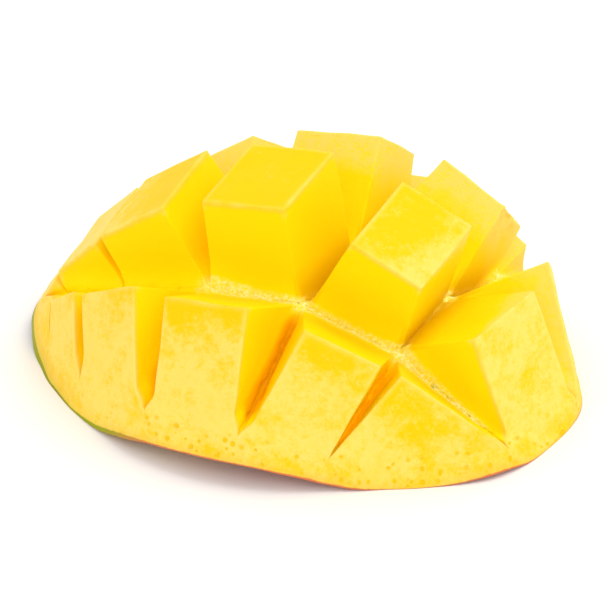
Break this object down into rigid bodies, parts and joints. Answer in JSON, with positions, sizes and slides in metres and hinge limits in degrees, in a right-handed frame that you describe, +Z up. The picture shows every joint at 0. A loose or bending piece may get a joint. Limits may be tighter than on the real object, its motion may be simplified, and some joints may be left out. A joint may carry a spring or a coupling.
{
  "type": "mango slice",
  "caption": "Mango cheek cut crosswise into cubes on its skin and turned inside out, so that the cubes fan apart over a hollow underside",
  "frame": {"origin": "centre of the bounding box, at the height of the table it rests on", "axes": "+X to the blunter, steeper end of the cheek's long axis, +Z up, -Y to the front side whose rim the picture shows"},
  "size_m": [0.1198, 0.0962, 0.0496],
  "materials": {
    "flesh": "moist, slightly glossy fruit flesh"
  },
  "bodies": {
    "root": {"mango_slice": "flesh"}
  },
  "joints": []
}
